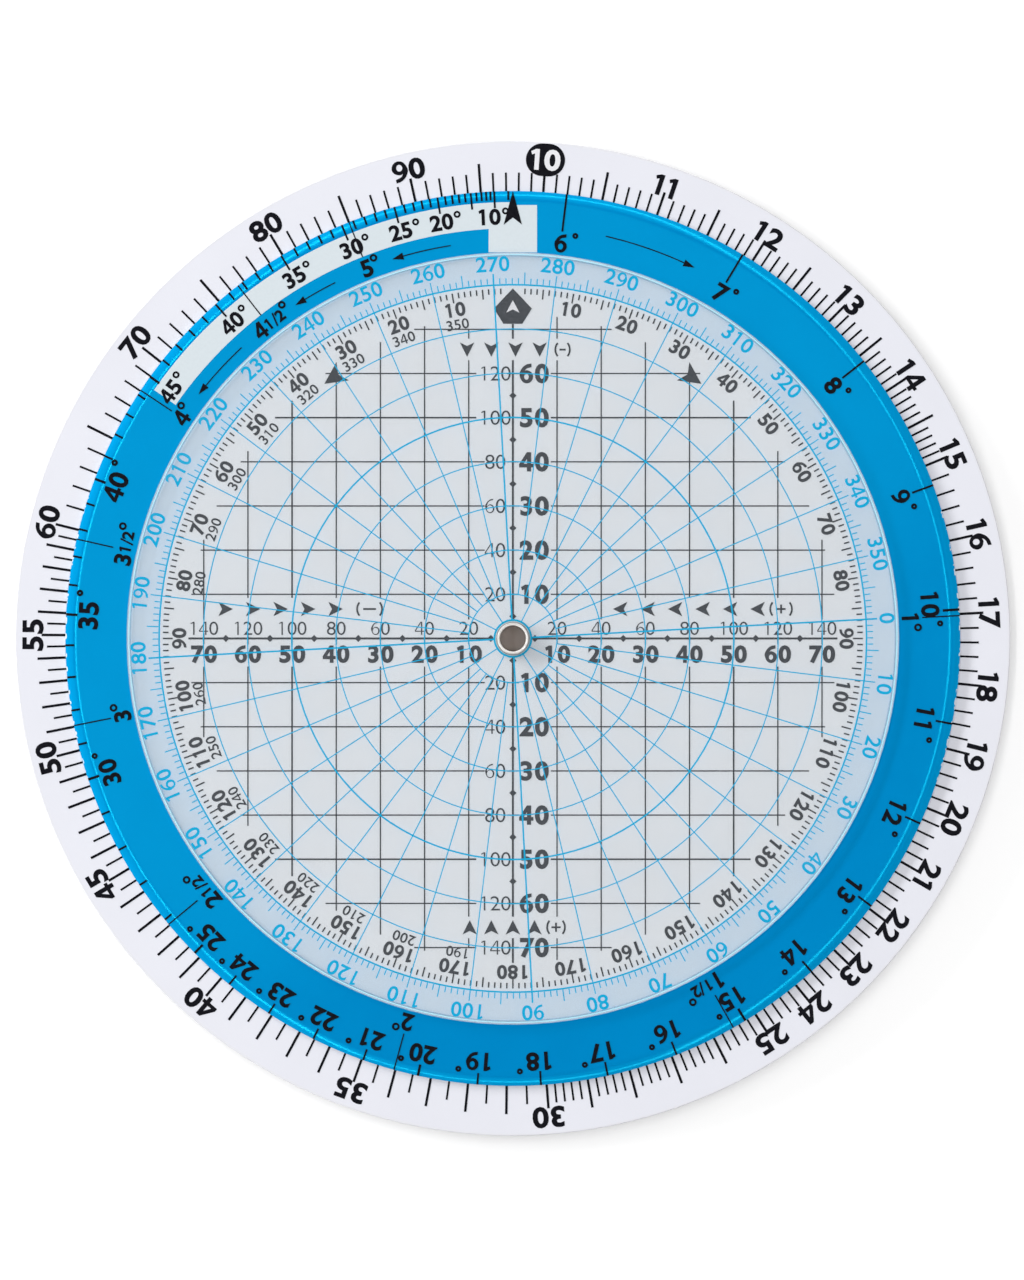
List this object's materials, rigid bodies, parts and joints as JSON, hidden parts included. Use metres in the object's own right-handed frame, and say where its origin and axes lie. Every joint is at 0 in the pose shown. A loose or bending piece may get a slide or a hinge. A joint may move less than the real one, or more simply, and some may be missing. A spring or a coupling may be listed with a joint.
{
  "type": "circular flight computer",
  "caption": "Circular slide-rule flight computer: white base disc, blue wind disc under a frosted compass disc, computer disc and clear cursor, all turning on a hollow eyelet.",
  "frame": {"origin": "on the eyelet's axis, at the flat of its set end, the lowest point of the part", "axes": "+Z along the eyelet's axis out of the wind side, +Y towards the wind disc's index at rest, +X to the right seen from the wind side"},
  "size_m": [0.1524, 0.1524, 0.0057],
  "materials": {
    "base_plastic": "satin white vinyl sheet",
    "wind_plastic": "satin white vinyl sheet",
    "computer_plastic": "satin white vinyl sheet",
    "band_film": "semi-gloss printed blue",
    "patch_film": "satin white print",
    "scale_ink": "matt black print",
    "grid_ink": "matt black print",
    "frosted_plastic": "frosted writable film, half see-through",
    "rose_ink": "matt light blue print",
    "cursor_acrylic": "clear polished acrylic",
    "hairline_ink": "fine red line",
    "eyelet_nickel": "bright nickel plate",
    "washer_nickel": "nickel-plated steel",
    "slip_nylon": "natural nylon"
  },
  "bodies": {
    "base": {"base_disc": "base_plastic", "base_wind_scale": "scale_ink", "base_computer_scale": "scale_ink", "eyelet": "eyelet_nickel", "eyelet_washer": "washer_nickel", "wind_slip_washer": "slip_nylon", "azimuth_slip_washer": "slip_nylon", "computer_slip_washer": "slip_nylon", "cursor_slip_washer": "slip_nylon"},
    "wind": {"wind_disc": "wind_plastic", "wind_band": "band_film", "wind_patches": "patch_film", "wind_scale": "scale_ink", "wind_grid": "grid_ink", "variation_scale": "grid_ink"},
    "azimuth": {"azimuth_disc": "frosted_plastic", "azimuth_rose": "rose_ink", "azimuth_degrees": "rose_ink"},
    "computer": {"computer_disc": "computer_plastic", "computer_scale": "scale_ink"},
    "cursor": {"cursor": "cursor_acrylic", "cursor_hairline": "hairline_ink"}
  },
  "joints": [
    {"name": "wind_turn", "type": "hinge", "parent": "base", "child": "wind", "pos_m": [0, 0, 0.00405], "axis": [0, 0, 1], "continuous": true},
    {"name": "azimuth_turn", "type": "hinge", "parent": "base", "child": "azimuth", "pos_m": [0, 0, 0.0049], "axis": [0, 0, 1], "continuous": true},
    {"name": "computer_turn", "type": "hinge", "parent": "base", "child": "computer", "pos_m": [0, 0, 0.002], "axis": [0, 0, 1], "continuous": true},
    {"name": "cursor_turn", "type": "hinge", "parent": "base", "child": "cursor", "pos_m": [0, 0, 0.00105], "axis": [0, 0, 1], "continuous": true}
  ]
}
